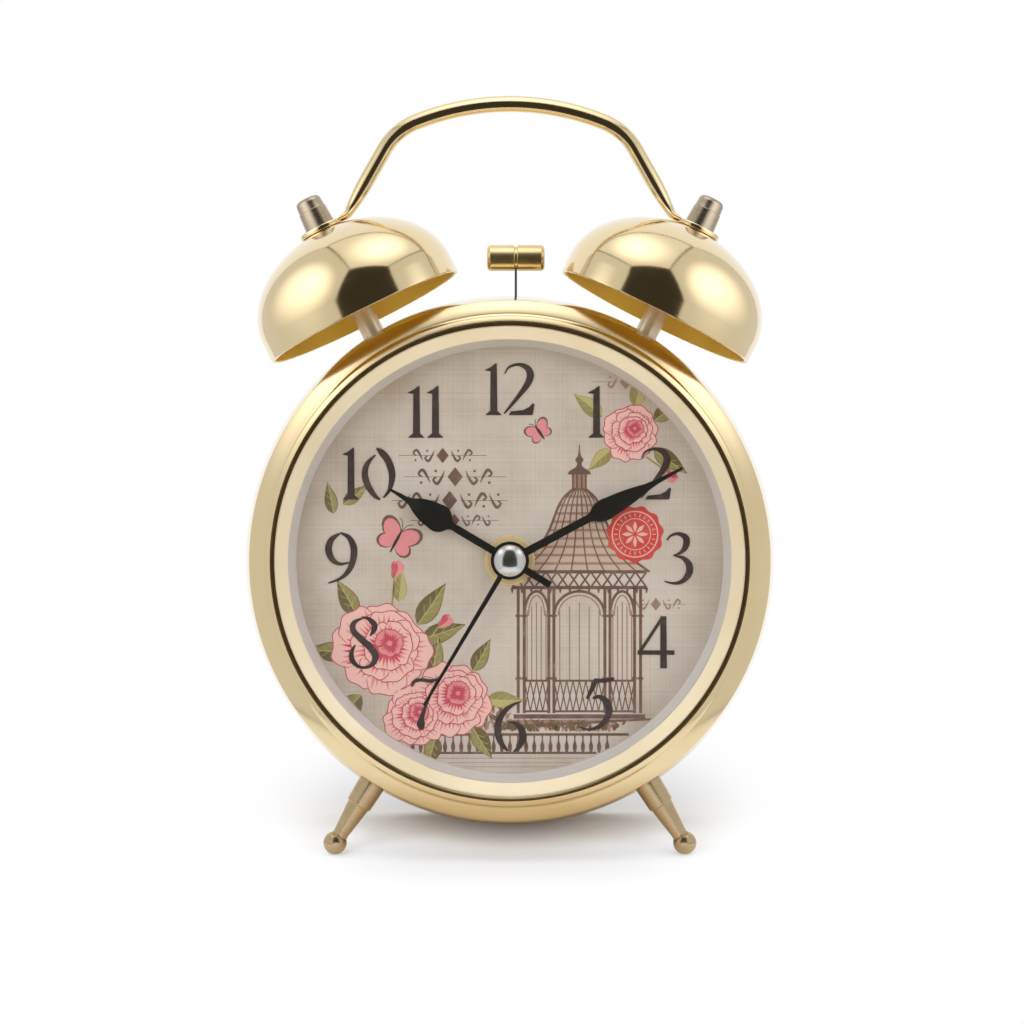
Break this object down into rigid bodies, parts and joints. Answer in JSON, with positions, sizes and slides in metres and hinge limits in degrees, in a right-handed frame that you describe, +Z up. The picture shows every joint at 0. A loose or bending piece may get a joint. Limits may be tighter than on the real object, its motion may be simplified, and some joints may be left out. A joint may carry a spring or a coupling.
{
  "type": "analog alarm clock",
  "caption": "Twin-bell analog alarm clock with a round drum case, flat lens over a numbered dial, swinging hammer, wire handle and ball feet, leaning back slightly.",
  "frame": {"origin": "centre of the bounding box, on the surface the clock stands on", "axes": "+Z up, the dial faces -Y and leans back by about 9 degrees, +X is on the right as the dial is read"},
  "size_m": [0.115, 0.0594, 0.1602],
  "materials": {
    "case_gold": "polished champagne gold plate",
    "bevel_gold": "satin pale gold plate",
    "bell_gold": "mirror-polished champagne gold plate",
    "handle_gold": "polished gold-plated wire",
    "satin_metal": "satin champagne plate, turned",
    "hammer_brass": "turned brass",
    "lens_clear": "clear and flat",
    "ring_grey": "matt lavender grey",
    "dial_paper": "printed beige paper on a metal plate",
    "hand_black": "satin black paint",
    "cap_silver": "polished",
    "washer_brass": "turned, fine rings",
    "carrier_plastic": "moulded natural white",
    "back_black": "fine-grained moulded black",
    "knob_black": "moulded black",
    "movement_plastic": "moulded dark grey",
    "gear_white": "moulded white acetal",
    "rotor_magnet": "dark sintered magnet",
    "steel": "zinc-plated",
    "coil_copper": "enamelled copper winding",
    "board_green": "fibre-glass board",
    "cell_wrap": "plain dark wrap"
  },
  "bodies": {
    "case": {"alarm_switch_body": "knob_black", "back_cover": "back_black", "back_cover_screws": "steel", "battery_box": "carrier_plastic", "battery_cell": "cell_wrap", "battery_contacts": "steel", "bell_left": "bell_gold", "bell_motor": "steel", "bell_post_left": "satin_metal", "bell_post_nuts": "steel", "bell_post_right": "satin_metal", "bell_right": "bell_gold", "case_drum": "case_gold", "circuit_board": "board_green", "dial": "dial_paper", "dial_nut": "washer_brass", "dial_ring": "ring_grey", "dial_washer": "washer_brass", "finial_nut_left": "satin_metal", "finial_nut_right": "satin_metal", "foot_left": "satin_metal", "foot_nuts": "steel", "foot_right": "satin_metal", "front_bezel": "case_gold", "hammer_bracket": "steel", "handle": "handle_gold", "inner_bezel": "bevel_gold", "lens": "lens_clear", "movement_carrier": "carrier_plastic", "movement_front_housing": "movement_plastic", "movement_plate": "movement_plastic", "movement_rear_housing": "movement_plastic", "quartz_crystal": "steel", "stepper_coil": "coil_copper", "stepper_stator": "steel"},
    "second_hand": {"second_hand": "hand_black", "hub_cap": "cap_silver", "second_wheel": "gear_white"},
    "third_wheel": {"third_wheel": "gear_white"},
    "centre_wheel": {"centre_wheel": "gear_white"},
    "step_wheel": {"step_wheel": "gear_white"},
    "rotor": {"rotor": "rotor_magnet"},
    "minute_hand": {"minute_hand": "hand_black", "cannon_pinion": "gear_white"},
    "minute_wheel": {"minute_wheel": "gear_white"},
    "hour_hand": {"hour_hand": "hand_black", "hour_wheel": "gear_white"},
    "alarm_hand": {"alarm_hand": "hand_black", "alarm_wheel": "gear_white"},
    "time_knob": {"time_knob": "knob_black", "time_set_shaft": "gear_white"},
    "alarm_knob": {"alarm_knob": "knob_black", "alarm_set_shaft": "gear_white"},
    "hammer": {"hammer_head": "hammer_brass", "hammer_arm": "steel"},
    "motor_crank": {"motor_crank": "steel"},
    "alarm_switch": {"alarm_switch_slider": "knob_black"},
    "battery_door": {"battery_door": "back_black"}
  },
  "joints": [
    {"name": "second_hand_spin", "type": "hinge", "parent": "case", "child": "second_hand", "pos_m": [0, -0.01482, 0.06236], "axis": [0, 0.987, -0.1605], "continuous": true},
    {"name": "third_wheel_spin", "type": "hinge", "parent": "case", "child": "third_wheel", "pos_m": [-0.00349, 0.00527, 0.0688], "axis": [0, 0.987, -0.1605], "continuous": true},
    {"name": "centre_wheel_spin", "type": "hinge", "parent": "case", "child": "centre_wheel", "pos_m": [0, 0.00186, 0.05964], "axis": [0, 0.987, -0.1605], "continuous": true},
    {"name": "step_wheel_spin", "type": "hinge", "parent": "case", "child": "step_wheel", "pos_m": [0.0054, 0.00519, 0.04962], "axis": [0, 0.987, -0.1605], "continuous": true},
    {"name": "rotor_spin", "type": "hinge", "parent": "case", "child": "rotor", "pos_m": [0.01351, 0.00169, 0.04799], "axis": [0, 0.987, -0.1605], "continuous": true},
    {"name": "minute_hand_spin", "type": "hinge", "parent": "case", "child": "minute_hand", "pos_m": [0, -0.01403, 0.06223], "axis": [0, 0.987, -0.1605], "continuous": true},
    {"name": "minute_wheel_spin", "type": "hinge", "parent": "case", "child": "minute_wheel", "pos_m": [-0.00849, -0.00286, 0.05181], "axis": [0, 0.987, -0.1605], "continuous": true},
    {"name": "hour_hand_spin", "type": "hinge", "parent": "case", "child": "hour_hand", "pos_m": [0, -0.01285, 0.06203], "axis": [0, 0.987, -0.1605], "continuous": true},
    {"name": "time_knob_spin", "type": "hinge", "parent": "case", "child": "time_knob", "pos_m": [-0.01697, 0.01953, 0.05677], "axis": [0, 0.987, -0.1605], "continuous": true},
    {"name": "alarm_hand_spin", "type": "hinge", "parent": "case", "child": "alarm_hand", "pos_m": [0, -0.01166, 0.06184], "axis": [0, 0.987, -0.1605], "continuous": true},
    {"name": "alarm_knob_spin", "type": "hinge", "parent": "case", "child": "alarm_knob", "pos_m": [0.012, 0.01953, 0.05677], "axis": [0, 0.987, -0.1605], "continuous": true},
    {"name": "hammer_swing", "type": "hinge", "parent": "case", "child": "hammer", "pos_m": [0.0013, 0.00086, 0.09526], "axis": [0, 0.987, -0.1605], "range_deg": [-12.1, 7.2]},
    {"name": "motor_crank_spin", "type": "hinge", "parent": "case", "child": "motor_crank", "pos_m": [0.0013, 0.00231, 0.08794], "axis": [0, 0.987, -0.1605], "continuous": true},
    {"name": "alarm_switch_slide", "type": "slide", "parent": "case", "child": "alarm_switch", "axis": [1, 0, 0], "range_m": [0, 0.003]},
    {"name": "battery_door_swing", "type": "hinge", "parent": "case", "child": "battery_door", "pos_m": [0, 0.01166, 0.01337], "axis": [-1, 0, 0], "range_deg": [0, 95]}
  ],
  "couplings": [
    {"joint": "third_wheel_spin", "follows": "second_hand_spin", "ratio": -0.125},
    {"joint": "centre_wheel_spin", "follows": "second_hand_spin", "ratio": 0.016667},
    {"joint": "step_wheel_spin", "follows": "second_hand_spin", "ratio": -5},
    {"joint": "rotor_spin", "follows": "second_hand_spin", "ratio": 30},
    {"joint": "minute_wheel_spin", "follows": "minute_hand_spin", "ratio": -0.33333},
    {"joint": "hour_hand_spin", "follows": "minute_hand_spin", "ratio": 0.083333},
    {"joint": "time_knob_spin", "follows": "minute_hand_spin", "ratio": 1},
    {"joint": "alarm_knob_spin", "follows": "alarm_hand_spin", "ratio": -4}
  ]
}
